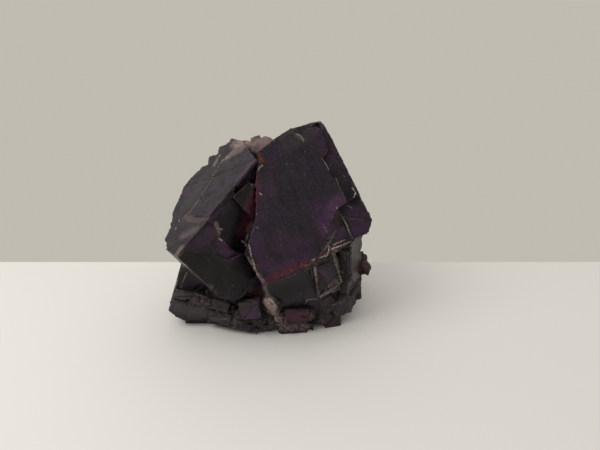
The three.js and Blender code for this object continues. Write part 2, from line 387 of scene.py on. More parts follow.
# %% Chips
SHARP, LONG_ENOUGH, OFF_THE_TABLE = radians(40), 1.5 * MM, 0.3 * MM
CHIP_LEAN, CHIP_STRETCH, CHIP_OUT = 0.05, (0.8, 1.6), (0.25, 0.55)
ALONG_THE_EDGE = (0.05, 0.95)


def lay_out_octahedron(placed):
    """Lays out an octahedron with its six points one unit from the middle."""
    bite = bmesh.new()
    points = [bite.verts.new(point) for point in
              ((1, 0, 0), (-1, 0, 0), (0, 1, 0), (0, -1, 0), (0, 0, 1), (0, 0, -1))]
    bmesh.ops.convex_hull(bite, input=points)
    bite.transform(placed)
    bmesh.ops.recalc_face_normals(bite, faces=bite.faces)
    lay_out(bite)


def chips(count, smallest, largest):
    """Bites along the crystals' sharp edges, small ones far more often than large ones."""
    shape = bmesh.new()
    shape.from_mesh(cluster.data)
    edges = []
    for edge in shape.edges:
        if not edge.is_manifold or edge.calc_face_angle_signed() < SHARP:
            continue
        if edge.calc_length() < LONG_ENOUGH or min(v.co.z for v in edge.verts) < OFF_THE_TABLE:
            continue
        owner, kind = owner_of(edge.link_faces[0].normal)
        if kind == "grown":
            edges.append((edge, owner))
    share = np.array([e.calc_length() for e, _ in edges])
    for pick in rng.choice(len(edges), size=count, p=share / share.sum()):
        edge, owner = edges[pick]
        spot = edge.verts[0].co.lerp(edge.verts[1].co, rng.uniform(*ALONG_THE_EDGE))
        outwards = (edge.link_faces[0].normal + edge.link_faces[1].normal).normalized()
        size = smallest * (largest / smallest) ** (rng.uniform() ** 2)
        lean = Euler(rng.normal(0, CHIP_LEAN, 3)).to_matrix()
        turned = (crystal_turn(CRYSTALS[owner][1]) @ lean).to_4x4()
        stretch = Matrix.Diagonal((*(size * MM * rng.uniform(*CHIP_STRETCH, 3)), 1))
        middle = spot + outwards * size * MM * rng.uniform(*CHIP_OUT)
        lay_out_octahedron(Matrix.Translation(middle) @ turned @ stretch)
    shape.free()


chips(190, 0.25, 1.5)

# %% [markdown]
# ## Larger bites where the photograph shows them
# The foot is more broken than chance would leave it. Each bite here has its own middle and
# size, in millimetres, and a random turn. All the chips are then cut out in one go.

# %% Bites
BITE_TURN = 0.4
BITES = [
    ((-7.2, -13.3, 4.6), 2.0), ((-2.0, -12.9, 4.2), 1.5), ((-7.0, -13.2, 9.6), 1.2),
    ((1.2, -11.8, 0.2), 1.7), ((16.8, -9.0, 0.4), 1.9), ((13.4, -9.8, 0.2), 1.1),
    ((2.6, -12.5, 3.3), 1.1),
    ((1.4, -12.0, 2.4), 1.7), ((8.9, -11.2, 2.6), 1.9), ((9.2, -10.9, 0.2), 1.6),
    ((2.4, -12.4, 7.4), 1.3), ((9.5, -11.6, 7.0), 1.6), ((9.4, -11.6, 2.9), 1.5),
    ((-8.8, -12.6, 9.4), 1.8), ((-8.6, -12.6, 3.9), 2.6), ((-1.2, -12.2, 3.4), 1.7),
    ((19.0, -7.8, 0.3), 2.4), ((22.6, -3.4, 4.4), 2.2), ((14.2, -9.9, 0.2), 1.2),
]
for middle, size in BITES:
    turned = Euler(rng.normal(0, BITE_TURN, 3)).to_matrix().to_4x4()
    lay_out_octahedron(Matrix.Translation(Vector(middle) * MM) @ turned
                       @ Matrix.Diagonal((size * MM, size * MM, size * MM, 1)))
work("DIFFERENCE")

# %% [markdown]
# ## Fine triangles
# Worn edges, broken rock and painted-on attributes all need points to act on. Splitting the
# longest edges again and again keeps the flat faces flat. Needle-thin triangles are left
# alone, because splitting one only gives more of them. A few of them stay folded flat onto a
# neighbour, where an edge then has four faces. They are too thin to show.

# %% Refine
SLIVER = 0.02 * MM
MOST_ROUNDS = 6
skin = bmesh.new()
skin.from_mesh(cluster.data)


def make_triangles(faces):
    bmesh.ops.triangulate(skin, faces=faces, quad_method="SHORT_EDGE", ngon_method="EAR_CLIP")


def too_long(edge, longest):
    """Long, and not the side of a sliver, which splitting would only make worse."""
    length = edge.calc_length()
    return length > longest * MM and all(
        2 * f.calc_area() > SLIVER * length for f in edge.link_faces)


def halve(edges):
    bmesh.ops.subdivide_edges(skin, edges=edges, cuts=1, use_grid_fill=False)
    make_triangles([f for f in skin.faces if len(f.verts) > 3])


make_triangles(skin.faces)
describe("worked skin:")
for longest in (4, 2, 1.2, 0.75):
    for _ in range(MOST_ROUNDS):
        long_edges = [e for e in skin.edges if too_long(e, longest)]
        if not long_edges:
            break
        halve(long_edges)
describe("fine skin:")

# %% [markdown]
# ## Painted places
# The cluster is not one even purple. A painted glow marks where light comes through thin
# crystal, painted shade fills the recesses and the faces under overhangs, and painted light
# lies on frosted faces that catch it. Rust has run along the joints, and knocked edges are
# chalky, with a painted highlight along some edges and ridges. Each place is a brush stroke:
# how wide it is in millimetres, how strong, and the points it passes through on the surface.

# %% Brush strokes
PAINT = {
    # Painted glow: brighter purple where light comes through thin crystal.
    "purple": [
        (1.6, 0.85, [(-6.2, -12.9, 6.6), (-4.0, -12.6, 7.2)]),
        (3.0, 0.45, [(11.5, -6.2, 29.5), (12.8, -8.0, 25.6)]),
        (2.6, 0.35, [(2.0, -9.5, 23.0), (8.5, -9.6, 21.5)]),
        (1.5, 1.0, [(15.4, -5.1, 31.1), (13.6, -5.9, 29.7), (14.7, -5.7, 30.1)]),
        (1.3, 0.9, [(12.3, -6.7, 28.3), (13.9, -7.4, 26.8), (15.0, -8.3, 25.0)]),
        (1.1, 0.8, [(11.4, -7.3, 27.1), (12.8, -8.8, 24.2)]),
        (1.6, 0.42, [(0.5, -4.5, 33.4), (-1.4, -6.3, 29.9), (-1.8, -7.5, 27.6)]),
        (1.8, 0.45, [(-2.7, -9.0, 24.7), (-2.4, -10.5, 21.8), (-0.5, -11.8, 19.2)]),
        (1.5, 0.5, [(-1.8, -10.7, 21.5), (0.8, -12.4, 18.0),
            (4.7, -11.7, 19.1), (9.3, -10.8, 20.5)]),
        (1.5, 0.4, [(9.9, 1.6, 44.8), (11.9, 1.7, 43.0), (11.6, 0.1, 41.6)]),
        (1.3, 0.32, [(12.6, 0.1, 39.8), (15.2, -0.6, 38.4), (16.5, -2.3, 34.8)]),
        (2.4, 0.45, [(17.9, -5.0, 27.7), (20.6, -5.5, 26.5), (19.0, -6.6, 24.5)]),
        (1.4, 0.35, [(2.5, -0.2, 41.7), (0.9, -1.7, 38.9), (0.2, -3.5, 35.4)]),
        (1.2, 1.0, [(-6.1, -5.6, 36.1), (-4.2, -4.1, 37.1), (-2.8, -2.8, 38.6)]),
        (0.9, 0.9, [(-3.5, -1.9, 35.4), (-2.4, -4.3, 34.0)]),
        (1.2, 1.0, [(-8.7, -6.7, 30.5), (-10.1, -9.7, 30.6), (-11.8, -10.9, 30.6)]),
        (1.4, 1.0, [(-10.8, -12.0, 26.1), (-9.5, -10.8, 22.7), (-8.5, -10.5, 20.6)]),
        (1.0, 0.9, [(-12.2, -12.8, 27.6), (-10.7, -11.7, 27.8)]),
        (1.4, 0.6, [(-15.7, -15.7, 25.8), (-13.7, -14.1, 26.3), (-11.7, -12.7, 26.1)]),
        (0.9, 0.5, [(-4.5, -10.3, 11.3), (-2.8, -8.8, 12.8)]),
        (0.9, 1.0, [(11.0, -10.5, 16.3), (12.4, -10.0, 14.0)]),
        (1.3, 0.65, [(-6.2, -12.5, 7.5), (-3.8, -12.8, 8.1), (-3.4, -13.2, 6.8)]),
        (1.2, 0.35, [(-18.6, -5.9, 12.4), (-16.0, -5.9, 9.5)]),
        (0.8, 0.7, [(-21.8, -8.9, 6.5), (-22.3, -8.9, 4.8)]),
        (0.5, 0.7, [(-18.9, -8.9, 3.5), (-18.4, -8.9, 3.2)]),
        (1.0, 0.9, [(2.9, -10.8, 1.9), (5.7, -10.7, 1.4), (7.4, -10.6, 0.9)]),
        (0.6, 0.7, [(-9.4, -7.9, 4.5), (-7.9, -9.4, 5.2)]),
        (0.8, 0.6, [(10.9, -8.7, 4.6)]),
        (0.8, 0.5, [(-18.8, 3.2, 29.5), (-17.7, 0.4, 29.4)]),
        (0.7, 0.4, [(-8.7, 10.5, 38.4), (-7.7, 7.1, 38.7)]),
        (0.9, 0.6, [(6.7, -11.5, 5.1), (8.1, -11.4, 5.0)]),
    ],
    "wine": [
        (1.5, 0.8, [(-2.8, -4.5, 31.9), (-4.1, -5.8, 29.7),
            (-4.6, -4.7, 25.3), (-5.9, -5.9, 24.0)]),
        (0.9, 0.8, [(-0.5, -13.4, 15.9), (2.5, -12.6, 17.3),
            (4.7, -12.1, 18.2), (7.4, -11.6, 19.0)]),
        (1.3, 1.0, [(-2.2, -8.2, 10.3), (-2.8, -10.7, 9.5)]),
        (1.3, 1.0, [(2.9, -10.4, 5.1), (6.0, -11.6, 5.1), (8.1, -11.4, 5.4)]),
        (1.7, 0.8, [(21.6, -1.5, 12.9), (21.9, -2.6, 11.1)]),
        (1.0, 0.5, [(3.2, -10.9, 1.5), (5.7, -10.9, 0.7)]),
        (1.2, 0.7, [(12.7, -9.1, 1.0), (15.6, -8.5, 0.1)]),
        (0.7, 0.6, [(-2.4, -12.9, 17.1), (-1.3, -12.3, 13.9)]),
        (0.8, 0.6, [(-2.4, -3.3, 36.0), (-1.9, -4.3, 34.0)]),
        (0.8, 0.5, [(13.6, 0.7, 41.0), (14.9, 0.0, 39.5)]),
    ],
    "rust": [
        (0.7, 1.0, [(-2.2, -1.2, 40.1), (-1.5, -1.8, 38.9)]),
        (0.35, 1.0, [(11.9, -10.5, 20.8), (13.6, -9.9, 22.0)]),
        (0.35, 1.0, [(6.9, -11.8, 18.7), (9.3, -11.4, 19.3), (11.0, -11.1, 19.7)]),
        (0.35, 0.8, [(1.5, -13.1, 16.5), (3.4, -12.6, 17.3), (5.4, -12.1, 18.2)]),
        (0.35, 0.8, [(14.2, -10.0, 21.8), (15.5, -9.6, 22.3), (16.9, -9.4, 22.8)]),
        (0.4, 1.0, [(-2.7, -11.9, 19.2), (-2.3, -12.0, 18.9)]),
        (0.35, 0.8, [(-5.2, -5.4, 23.7), (-4.3, -5.2, 25.0), (-2.7, -7.8, 27.2)]),
        (0.3, 0.6, [(3.3, -10.6, 6.7), (6.0, -11.2, 6.8)]),
        (0.4, 0.7, [(-10.2, -8.3, 27.5), (-10.7, -8.6, 28.2)]),
        (0.5, 0.6, [(15.1, -7.8, 19.5), (15.8, -8.1, 16.8)]),
        (0.5, 0.5, [(-6.7, -6.3, 35.0), (-5.0, -3.7, 34.8)]),
    ],
    # Chalk on knocked edges, and painted highlights along edges and ridges that catch the light.
    "pale": [
        (0.28, 1.6, [(-10.5, -10.7, 25.2), (-9.7, -10.7, 24.6)]),
        (0.25, 1.5, [(-0.9, -12.2, 10.0), (-0.2, -12.3, 9.2)]),
        (1.0, 0.6, [(12.6, -10.2, 11.2), (15.0, -9.6, 13.2)]),
        (0.4, 0.8, [(9.7, -11.4, 19.6), (11.0, -10.4, 9.5)]),
        (0.55, 0.75, [(11.0, -10.4, 9.6), (15.8, -8.9, 12.6)]),
        (0.4, 0.8, [(13.7, -10.6, 21.4), (15.8, -9.0, 12.6)]),
        (0.35, 0.8, [(15.4, -8.9, 20.2), (16.3, -9.2, 13.6)]),
        (0.35, 0.7, [(17.2, -9.4, 21.2), (17.8, -8.8, 12.2)]),
        (0.2, 1.0, [(-2.2, -2.8, 37.0), (-1.9, -2.5, 37.6), (-1.2, -2.2, 38.0)]),
        (0.18, 1.0, [(-1.8, -5.0, 32.7), (-1.4, -5.1, 32.4)]),
        (0.16, 1.0, [(-2.6, -6.8, 29.0), (-2.4, -7.0, 28.6)]),
        (0.16, 1.0, [(-2.4, -8.2, 26.3), (-2.3, -8.3, 26.1)]),
        (0.22, 1.0, [(-6.0, -6.4, 21.8), (-5.4, -6.1, 21.1), (-5.1, -6.3, 20.4)]),
        (0.22, 1.0, [(-4.7, -5.7, 22.9), (-5.2, -5.9, 21.7)]),
        (0.2, 0.9, [(-4.2, -10.0, 23.0), (-3.6, -11.1, 20.7),
            (-2.8, -12.3, 18.3), (-2.4, -12.8, 17.3)]),
        (0.2, 0.8, [(-5.4, -9.3, 20.1), (-4.1, -10.8, 21.4)]),
        (0.24, 1.0, [(14.6, -5.9, 29.7), (15.6, -5.2, 27.5),
            (16.8, -6.1, 25.7), (17.3, -6.8, 24.2)]),
        (0.22, 0.9, [(17.3, -6.7, 24.5), (18.0, -7.4, 23.0),
            (16.2, -9.0, 23.6), (13.9, -9.5, 22.7)]),
        (0.13, 1.0, [(11.4, -1.2, 39.2), (12.7, -2.1, 37.3), (14.4, -2.4, 34.9),
            (15.4, -3.4, 32.8), (16.6, -4.4, 30.8)]),
        (0.25, 0.85, [(17.9, -3.2, 33.1), (18.7, -3.6, 32.2), (18.2, -4.1, 31.3)]),
        (0.2, 0.75, [(18.5, -2.9, 33.6), (20.3, -3.7, 30.0)]),
        (0.2, 0.75, [(16.9, -4.2, 29.4), (17.9, -4.4, 28.9)]),
        (0.15, 0.9, [(16.0, -2.0, 35.5), (16.2, -2.2, 35.1)]),
        (0.16, 0.9, [(5.2, 1.1, 44.0), (6.9, 0.8, 43.4), (7.5, 0.3, 42.4)]),
        (0.13, 0.7, [(3.0, -1.9, 38.3), (4.1, -2.0, 38.1)]),
        (0.13, 0.8, [(8.8, -0.7, 40.3), (8.9, -0.8, 40.1)]),
        (0.2, 0.9, [(9.3, -11.1, 19.9), (12.6, -10.6, 20.7),
            (13.0, -9.8, 22.1), (12.3, -9.2, 23.3)]),
        (0.2, 0.9, [(13.6, -9.9, 22.0), (15.5, -9.5, 22.5), (17.5, -9.1, 23.2)]),
        (0.13, 0.7, [(11.6, -7.5, 26.8), (12.9, -8.8, 24.2), (13.6, -9.5, 22.7)]),
        (0.22, 0.95, [(9.7, -10.9, 17.2), (10.2, -10.4, 13.9), (11.0, -9.8, 9.5)]),
        (0.25, 1.0, [(13.6, -9.9, 21.8), (14.6, -7.6, 16.8), (15.4, -7.9, 13.0)]),
        (0.25, 0.85, [(16.1, -8.2, 13.8), (16.0, -8.2, 11.1),
            (14.2, -9.2, 10.3), (11.1, -9.8, 9.9)]),
        (0.22, 0.9, [(15.4, -7.9, 19.8), (15.8, -8.1, 17.2), (16.1, -8.3, 14.8)]),
        (0.2, 0.8, [(17.1, -8.8, 20.7), (17.6, -8.2, 13.2)]),
        (0.2, 0.6, [(16.3, -8.4, 20.1), (16.8, -8.6, 17.5)]),
        (0.13, 1.0, [(-8.1, 5.9, 38.1), (-8.9, 4.6, 37.2), (-10.7, 4.7, 36.0), (-11.9, 2.3, 34.5),
            (-13.2, -0.5, 32.8), (-14.8, -3.3, 30.9), (-16.5, -6.0, 29.0), (-17.9, -6.3, 28.0)]),
        (0.14, 1.0, [(-17.9, -6.3, 28.0), (-19.4, -5.4, 26.6),
            (-19.6, -8.9, 26.1), (-19.4, -12.4, 25.6)]),
        (0.12, 0.7, [(-8.6, 9.6, 38.2), (-9.2, 7.8, 37.3)]),
        (0.12, 0.5, [(-9.2, -0.6, 35.5), (-12.3, -4.0, 32.4), (-14.1, -6.2, 30.6)]),
        (0.22, 1.0, [(-7.2, -6.8, 34.5), (-6.4, -4.3, 34.0), (-5.5, -3.9, 34.5),
            (-4.4, -2.8, 34.4), (-3.5, -4.5, 34.4)]),
        (0.2, 0.8, [(-7.2, -6.8, 34.5), (-6.7, -6.4, 34.7), (-4.9, -5.4, 34.6)]),
        (0.2, 1.0, [(-11.3, -11.8, 29.3), (-10.8, -9.0, 26.4), (-9.8, -8.3, 25.8)]),
        (0.22, 0.95, [(-10.9, -12.1, 26.3), (-10.5, -9.0, 25.4)]),
        (0.14, 0.5, [(-18.0, -13.1, 20.0), (-15.2, -14.5, 18.2),
            (-12.1, -15.1, 15.5), (-11.6, -8.3, 8.6)]),
        (0.12, 0.8, [(-8.0, -12.4, 13.8), (-7.5, -12.0, 14.3)]),
        (0.2, 1.0, [(-18.0, -13.1, 20.0), (-21.1, -5.9, 11.6), (-22.0, -5.9, 8.6)]),
        (0.2, 0.8, [(-18.9, -5.9, 13.2), (-20.6, -5.9, 9.0)]),
        (0.2, 0.8, [(-20.9, -6.7, 8.3), (-19.6, -6.7, 7.5)]),
        (0.25, 0.8, [(-16.5, -6.9, 6.2), (-15.2, -7.3, 5.8), (-14.3, -8.3, 5.4)]),
        (0.25, 0.6, [(-14.1, -8.5, 5.4), (-13.4, -9.4, 5.2)]),
        (0.3, 0.6, [(-2.8, -8.6, 13.9), (-1.1, -13.3, 16.2), (-0.6, -12.1, 14.2)]),
        (0.22, 0.95, [(-0.9, -11.9, 9.7), (-0.2, -11.7, 10.3),
            (0.5, -12.0, 9.7), (1.6, -12.5, 8.4)]),
        (0.2, 0.9, [(-1.4, -10.6, 6.5), (-0.5, -11.4, 6.7)]),
        (0.3, 0.9, [(2.2, -10.6, 5.2), (2.5, -10.4, 3.8)]),
        (0.18, 0.9, [(-7.8, -8.3, 5.8), (-6.2, -11.3, 9.2),
            (-4.8, -10.9, 9.2), (-3.1, -12.1, 9.9)]),
        (0.14, 0.8, [(-6.1, -10.8, 3.2), (-4.8, -10.9, 2.8),
            (-3.4, -10.6, 3.5), (-2.2, -13.3, 7.2)]),
        (0.14, 0.6, [(2.9, -10.6, 6.6), (5.7, -10.9, 6.7), (8.6, -11.1, 6.5)]),
        (0.3, 0.9, [(8.8, -11.2, 5.9), (8.8, -11.7, 3.5)]),
        (0.16, 0.9, [(-0.6, -10.7, 3.2), (2.2, -10.9, 2.2)]),
        (0.2, 0.7, [(5.7, -10.4, 2.1), (7.8, -10.4, 1.6)]),
        (0.22, 0.8, [(18.4, -6.6, 21.7)]),
        (0.25, 0.7, [(7.7, -9.6, 7.0), (8.4, -9.6, 8.3), (10.5, -9.1, 8.2)]),
        (0.2, 0.6, [(15.8, -7.8, 7.5), (16.5, -7.9, 6.8)]),
        (0.16, 0.6, [(14.0, -8.7, 6.0), (14.9, -8.4, 6.4), (16.1, -8.0, 6.7)]),
        (0.2, 0.6, [(13.8, -9.6, 12.9), (16.3, -8.3, 12.4)]),
        (0.15, 0.5, [(4.7, -11.0, 14.3), (5.7, -10.8, 14.6)]),
        (0.15, 0.5, [(9.9, 1.6, 44.8), (10.9, 1.5, 44.5)]),
        (0.2, 0.5, [(13.2, 1.6, 42.7)]),
    ],
    "milky": [
        (2.0, 0.17, [(15.0, -5.2, 31.5), (13.4, -6.4, 28.6), (14.6, -7.6, 26.2)]),
        (1.2, 0.9, [(-0.4, -11.9, 9.4), (0.9, -12.0, 6.4), (2.2, -12.1, 4.0)]),
        (1.1, 0.55, [(2.2, -11.6, 1.6), (5.6, -11.4, 1.8), (8.2, -11.0, 1.8)]),
        (1.2, 1.0, [(-0.5, -11.9, 9.8), (0.3, -12.5, 8.4), (1.3, -12.6, 6.3)]),
        (0.9, 1.0, [(1.6, -12.3, 6.1), (2.2, -10.5, 3.5)]),
        (0.8, 0.6, [(3.9, -10.6, 2.2), (6.0, -10.5, 1.7), (8.1, -10.5, 1.2)]),
        (2.4, 0.85, [(-6.3, 7.4, 39.1), (-2.8, 6.9, 39.7), (0.2, 8.0, 39.9)]),
        (1.0, 0.9, [(-2.1, 6.2, 38.9)]),
        (0.8, 0.5, [(-17.4, -16.0, 25.9), (-18.3, -17.3, 24.9)]),
        (1.1, 0.3, [(-17.8, -6.8, 27.9), (-14.9, -10.3, 29.2), (-12.1, -11.7, 30.7)]),
        (1.2, 0.35, [(-14.6, -13.1, 28.6), (-17.3, -12.7, 26.9)]),
        (1.3, 0.5, [(-8.2, 9.0, 38.3), (-6.1, 4.6, 39.0), (-9.3, 4.9, 37.0)]),
        (0.5, 0.6, [(-11.7, 8.0, 35.6), (-12.6, 5.8, 34.4)]),
        (0.45, 0.6, [(-4.4, -11.3, 20.4), (-2.8, -12.6, 17.7), (-1.1, -13.5, 15.9)]),
        (0.6, 0.55, [(-1.1, -12.2, 13.5), (-0.7, -11.8, 11.2)]),
        (0.6, 0.4, [(-19.6, -5.9, 14.9), (-15.2, -14.5, 18.2), (-12.1, -15.1, 15.5)]),
        (0.6, 1.0, [(-11.1, -9.0, 27.5), (-10.7, -9.1, 25.2)]),
        (0.5, 0.8, [(8.9, -11.2, 5.7), (9.5, -8.7, 1.6)]),
        (0.3, 0.4, [(14.4, -8.6, 6.1), (16.5, -7.9, 6.8)]),
        (0.35, 0.35, [(5.7, 0.9, 43.7), (7.4, 0.5, 42.7)]),
        (0.35, 0.35, [(-7.8, -8.9, 7.0), (-5.5, -11.1, 9.2), (-3.4, -11.9, 9.8)]),
        (0.35, 0.35, [(15.6, -8.0, 11.8), (14.2, -9.3, 11.0)]),
        (0.5, 0.7, [(14.2, -10.1, 21.5), (15.1, -7.8, 16.9)]),
    ],
    # Frost, and painted light on the ledges, tops and side faces that catch the light.
    "frost_and_painted_light": [
        (1.3, 0.9, [(-22.2, -8.0, 8.2), (-9.4, -10.3, 6.2)]),
        (1.0, 0.8, [(-13.6, -10.4, 4.6), (-6.6, -11.6, 4.0)]),
        (1.8, 1.0, [(18.9, -5.7, 20.4), (18.7, -6.0, 15.8), (19.5, -4.3, 10.9)]),
        (0.9, 1.0, [(-20.5, -6.6, 8.7), (-16.1, -6.7, 7.3), (-11.9, -7.3, 6.2)]),
        (0.6, 0.9, [(-13.5, -9.5, 4.4), (-8.2, -10.2, 4.3)]),
        (0.8, 0.6, [(-17.5, -7.5, 1.1), (-9.9, -10.9, 2.9)]),
        (0.8, 0.6, [(-3.0, -10.8, 2.8), (1.5, -11.0, 2.0)]),
        (1.8, 0.7, [(-20.8, -8.9, 5.6), (-17.7, -8.9, 4.8), (-15.3, -8.9, 4.3)]),
        (0.8, 0.6, [(11.0, 4.4, 45.3)]),
        (0.8, 0.6, [(2.5, 0.5, 43.2), (4.8, 1.3, 44.6)]),
        (0.5, 0.8, [(18.2, -2.7, 33.9)]),
        (0.5, 1.0, [(18.4, -6.6, 21.5)]),
        (1.6, 0.4, [(9.0, 1.2, 43.9), (6.7, 0.4, 42.5), (4.1, -0.2, 41.7)]),
        (0.8, 0.7, [(13.9, -9.4, 11.1), (15.5, -9.1, 12.1)]),
        (2.2, 0.35, [(-17.7, -2.4, 28.6), (-14.8, 3.2, 32.2), (-10.3, 4.4, 36.2)]),
        (1.6, 0.35, [(11.9, -8.9, 7.0), (14.3, -7.9, 8.4)]),
        (0.8, 0.6, [(20.6, -2.0, 17.4), (20.3, -2.6, 15.3)]),
    ],
    # Painted shade: near black in the recesses, the slot and the faces under overhangs.
    "deep": [
        (3.2, 1.0, [(-16.1, -16.3, 23.9), (-12.5, -14.5, 20.1),
            (-8.5, -12.5, 14.9), (-5.4, -10.6, 13.2)]),
        (3.0, 1.0, [(-7.1, -10.9, 18.2), (-5.2, -9.3, 19.5), (-4.4, -9.6, 14.9)]),
        (2.4, 1.0, [(-6.7, -7.1, 33.2), (-5.8, -5.1, 27.8), (-6.0, -6.0, 23.7)]),
        (1.6, 1.0, [(-6.9, -6.8, 23.0), (-7.3, -7.5, 20.8)]),
        (1.2, 0.8, [(-4.0, -4.9, 34.3), (-3.1, -4.9, 30.7)]),
        (1.6, 1.0, [(-19.0, -5.9, 12.0), (-16.0, -5.9, 9.9), (-14.3, -5.9, 8.6)]),
        (2.4, 0.9, [(2.3, -11.2, 11.1), (6.0, -10.5, 12.3), (8.7, -10.1, 13.6)]),
        (1.2, 1.0, [(15.4, -7.9, 18.6), (16.5, -8.5, 15.8), (17.2, -8.8, 12.8)]),
        (0.6, 1.0, [(-4.6, 5.3, 38.7), (-3.1, 4.5, 37.2)]),
        (0.8, 0.7, [(-7.4, -5.9, 35.1), (-5.5, -5.1, 36.5)]),
        (1.4, 0.5, [(14.9, -1.6, 36.3), (17.2, -3.3, 32.8)]),
        (1.0, 0.8, [(17.2, -3.9, 31.6), (18.3, -3.8, 30.1)]),
        (0.5, 1.0, [(-21.1, -7.7, 7.7), (-17.7, -8.1, 6.6)]),
        (0.6, 1.0, [(-12.8, -8.7, 5.1), (-8.6, -8.9, 4.8)]),
        (0.5, 1.0, [(-1.6, -10.3, 4.4), (-0.4, -10.3, 4.4)]),
        (0.8, 0.8, [(11.6, -10.7, 19.2), (13.3, -10.3, 18.6)]),
    ],
}


FADED_OUT = 1.5  # in stroke widths: full colour to 0.5 of a width, and none beyond 1.5
SHORTEST_RUN = 1e-9


def painted(strokes):
    """How strongly the strokes cover each point of the skin."""
    points = np.array([v.co for v in skin.verts]) / MM
    covered = np.zeros(len(points))
    for width, strength, path in strokes:
        path = [np.array(p) for p in path]
        nearest = np.full(len(points), np.inf)
        for start, end in zip(path, path[1:] or path):
            along = end - start
            share = np.clip(
                (points - start) @ along / max(along @ along, SHORTEST_RUN), 0, 1)
            gap = np.linalg.norm(points - start - share[:, None] * along, axis=1)
            nearest = np.minimum(nearest, gap)
        covered = np.maximum(covered, strength * np.clip(FADED_OUT - nearest / width, 0, 1))
    return covered


print("brush strokes:", {name: len(strokes) for name, strokes in PAINT.items()})

# %% [markdown]
# ## Room for the thin strokes
# A chalky edge, or a painted highlight along an edge, is a quarter of a millimetre wide.
# Triangles larger than that would smear it, so the ones under the thin strokes are split
# further.

# %% Finer triangles under the thin strokes
THIN = [stroke for name in ("pale", "rust") for stroke in PAINT[name]]
for longest in (0.55, 0.36):
    for _ in range(2):
        under = painted(THIN) > 0
        long_edges = [e for e in skin.edges if too_long(e, longest)
                      and (under[e.verts[0].index] or under[e.verts[1].index])]
        if not long_edges:
            break
        halve(long_edges)
        skin.verts.index_update()
describe("finer skin:")

# %% [markdown]
# ## Where the edges are
# Real edges are knocked and dusty and carry a painted highlight, and the hollows get painted
# shade. Both are painted by distance, so each point learns how far it is from the nearest
# outer edge and the nearest inner one.

# %% Distance to the edges
skin.normal_update()
REACH_MM = 3.0
APART = 0.1 * MM
BEND = radians(20)


def distances_to(edges):
    """How far each point of the skin is from the nearest of these edges, in mm."""
    samples = []
    for edge in edges:
        start, end = (v.co for v in edge.verts)
        count = max(1, int((end - start).length / APART))
        samples += [start.lerp(end, i / count) for i in range(count + 1)]
    tree = KDTree(len(samples))
    for i, point in enumerate(samples):
        tree.insert(point, i)
    tree.balance()
    return np.array([min(REACH_MM, tree.find(v.co)[2] / MM) for v in skin.verts])


outer_edges = [e for e in skin.edges if e.calc_face_angle_signed(0) > BEND]
inner_edges = [e for e in skin.edges if e.calc_face_angle_signed(0) < -BEND]
outer_mm = distances_to(outer_edges)
inner_mm = distances_to(inner_edges)
print("outer edges:", len(outer_edges), "inner edges:", len(inner_edges))

# %% [markdown]
# ## Each crystal's own millimetres
# Growth lines and terraces run along a crystal's axes and stop where the next crystal starts.
# So every corner of every triangle is measured from its own crystal's corner, along that
# crystal's axes. Broken rock keeps the axes of the cluster.

# %% Which crystal each face belongs to
growth = np.zeros((len(skin.faces) * 3, 3), np.float32)
is_rock = np.zeros(len(skin.verts))
corner = 0
for face in skin.faces:
    owner, kind = owner_of(face.normal)
    for vert in face.verts:
        if owner:
            growth[corner] = BACK[owner] @ (vert.co / MM - Vector(CRYSTALS[owner][0]))
        else:
            growth[corner] = vert.co / MM
        is_rock[vert.index] = max(is_rock[vert.index], kind == "rock")
        corner += 1
print("rock points:", int(is_rock.sum()), "of", len(is_rock))

# %% [markdown]
# ## The side the photograph doesn't show
# The strokes end where the photograph ends. From there on round the back, the same five
# paints drift over the crystals in soft patches, each from a noise of its own, so the back
# has as much to look at as the front. There they are patches of tone only: purple, wine,
# frost, milky and dark, with no light or shade behind them.

# %% Paint every point
BACK_FROM_MM, BACK_FADE_MM = 0.5, 6
WIDE_SCALE, FINE_SCALE, FINE_SHARE = 0.08, 0.6, 0.25
CONTRAST = 1.1
DRIFTS = {  # which part of the noise, where in it the patches start, and how strong they get
    "purple": (11, -0.15, 0.55), "wine": (23, 0.1, 0.3), "frost_and_painted_light": (37, 0.0, 0.45),
    "milky": (53, 0.25, 0.14), "deep": (71, 0.1, 0.5),
}
paint = {name: painted(strokes) for name, strokes in PAINT.items()}
places = [vert.co / MM for vert in skin.verts]
depths = np.array([place.y for place in places])
behind = np.clip((depths - BACK_FROM_MM) / BACK_FADE_MM, 0, 1)
for name, (shift, start, most) in DRIFTS.items():
    wide, fine = Vector((shift, 0, 0)), Vector((0, shift, 0))
    drift = np.array([noise.noise(place * WIDE_SCALE + wide)
                      + FINE_SHARE * noise.noise(place * FINE_SCALE + fine) for place in places])
    patches = np.clip((drift - start) * CONTRAST, 0, most)
    paint[name] = np.maximum(paint[name], behind * patches)
print("painted points:", {name: int((p > 0).sum()) for name, p in paint.items()})

# %% [markdown]
# ## Wear
# Rock is rough to the touch, and the crystal edges have lost tiny crumbs. Both are small
# moves of the points along their own normals, by a noise that is the same in every run.
# The points that stand on the table stay there, and no other may sink below it.

